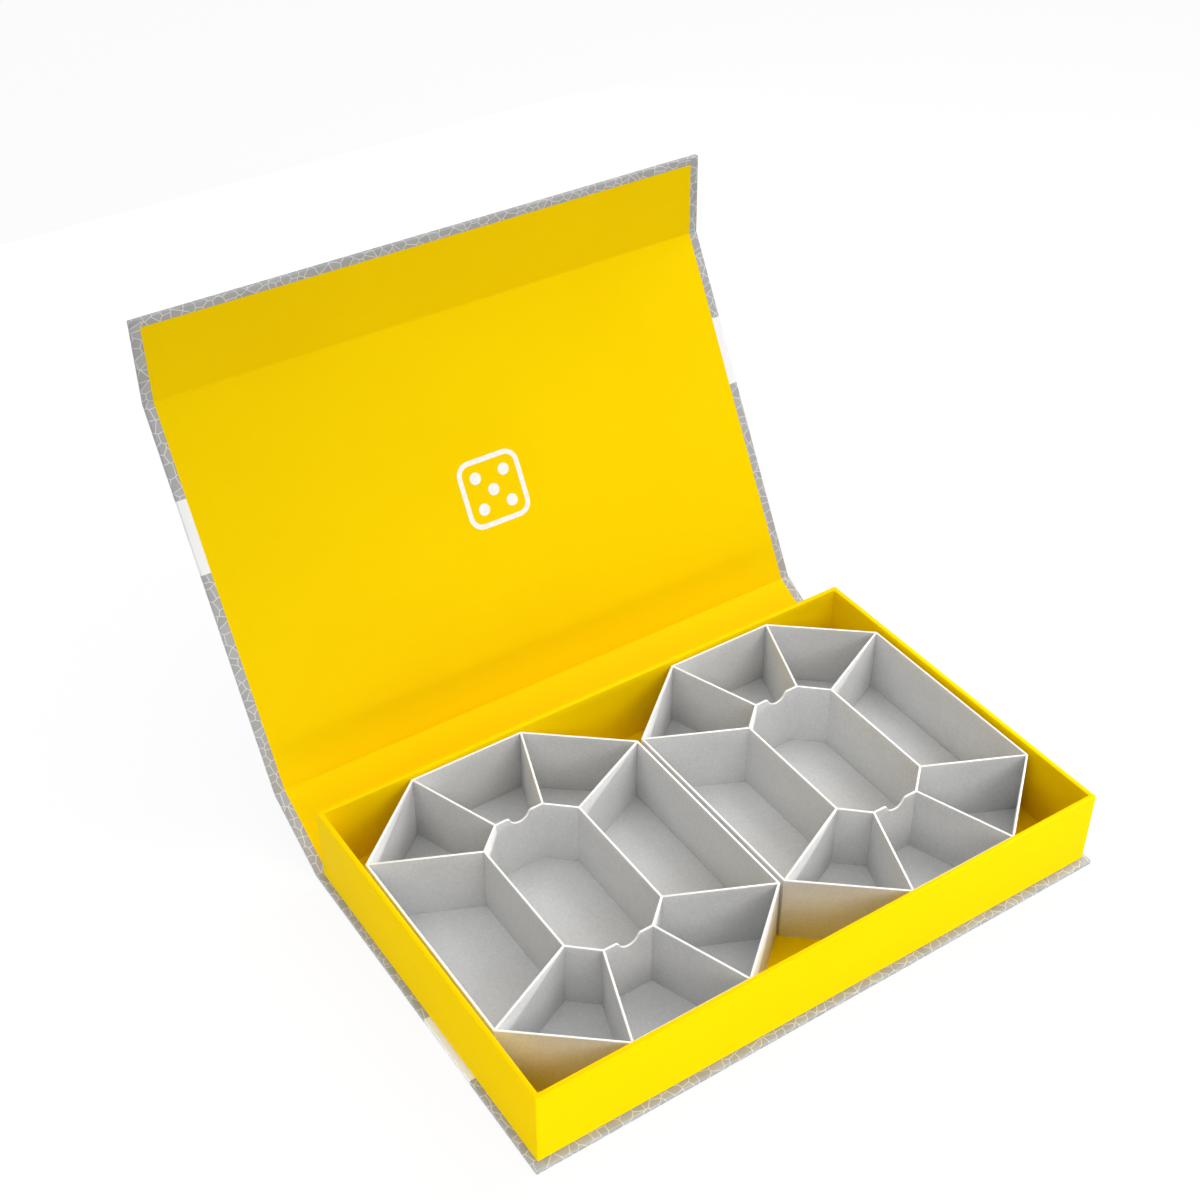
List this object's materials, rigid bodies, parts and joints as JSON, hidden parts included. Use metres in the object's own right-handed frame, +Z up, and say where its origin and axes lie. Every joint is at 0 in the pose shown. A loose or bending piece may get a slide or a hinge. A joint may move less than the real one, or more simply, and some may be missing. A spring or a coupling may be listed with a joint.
{
  "type": "board game box",
  "caption": "Flip-top rigid board box with a magnetic flap, a paper-lined tray and lift-out octagonal inserts divided into wells for game pieces.",
  "frame": {"origin": "centre of the tray, on the underside of the base panel", "axes": "+X along the box to its right-hand end, -Y to the front, +Z up"},
  "size_m": [0.29, 0.311, 0.2184],
  "materials": {
    "greyboard": "matte",
    "printed_paper": "satin",
    "yellow_paper": "satin",
    "insert_board": "matte",
    "magnet": "nickel plated",
    "catch_steel": "plain"
  },
  "bodies": {
    "base": {"base_board": "greyboard", "base_wrap": "printed_paper", "base_liner": "yellow_paper", "tray_floor_board": "greyboard", "tray_floor_liner": "yellow_paper", "tray_wrap": "yellow_paper", "tray_front_wall": "greyboard", "tray_rear_wall": "greyboard", "tray_left_wall": "greyboard", "tray_right_wall": "greyboard", "catch_plates": "catch_steel"},
    "spine": {"spine_board": "greyboard", "spine_wrap": "printed_paper", "spine_liner": "yellow_paper", "rear_crease_wrap": "printed_paper", "rear_crease_liner": "yellow_paper"},
    "lid": {"lid_board": "greyboard", "lid_wrap": "printed_paper", "lid_liner": "yellow_paper", "top_crease_wrap": "printed_paper", "top_crease_liner": "yellow_paper"},
    "flap": {"flap_board": "greyboard", "flap_wrap": "printed_paper", "flap_liner": "yellow_paper", "flap_crease_wrap": "printed_paper", "flap_crease_liner": "yellow_paper", "flap_magnets": "magnet"},
    "left_insert": {"left_insert_floor": "insert_board", "left_insert_outer_wall": "insert_board", "left_insert_core_wall": "insert_board", "left_insert_divider_1": "insert_board", "left_insert_divider_2": "insert_board", "left_insert_divider_3": "insert_board", "left_insert_divider_4": "insert_board", "left_insert_divider_5": "insert_board", "left_insert_divider_6": "insert_board", "left_insert_divider_7": "insert_board", "left_insert_divider_8": "insert_board"},
    "right_insert": {"right_insert_floor": "insert_board", "right_insert_outer_wall": "insert_board", "right_insert_core_wall": "insert_board", "right_insert_divider_1": "insert_board", "right_insert_divider_2": "insert_board", "right_insert_divider_3": "insert_board", "right_insert_divider_4": "insert_board", "right_insert_divider_5": "insert_board", "right_insert_divider_6": "insert_board", "right_insert_divider_7": "insert_board", "right_insert_divider_8": "insert_board"}
  },
  "joints": [
    {"name": "rear_crease", "type": "hinge", "parent": "base", "child": "spine", "pos_m": [0, 0.09105, 0.00125], "axis": [-1, 0, 0], "range_deg": [-62.5, 27.5], "deforming": ["rear_crease_wrap", "rear_crease_liner"]},
    {"name": "top_crease", "type": "hinge", "parent": "spine", "child": "lid", "pos_m": [0, 0.12795, 0.02046], "axis": [-1, 0, 0], "range_deg": [-57, 33], "deforming": ["top_crease_wrap", "top_crease_liner"]},
    {"name": "flap_crease", "type": "hinge", "parent": "lid", "child": "flap", "pos_m": [0, 0.21732, 0.17843], "axis": [-1, 0, 0], "range_deg": [-61.5, 28.5], "deforming": ["flap_crease_wrap", "flap_crease_liner"]},
    {"name": "left_insert_lift", "type": "slide", "parent": "base", "child": "left_insert", "axis": [0, 0, 1], "range_m": [0, 0.06]},
    {"name": "right_insert_lift", "type": "slide", "parent": "base", "child": "right_insert", "axis": [0, 0, 1], "range_m": [0, 0.06]}
  ]
}
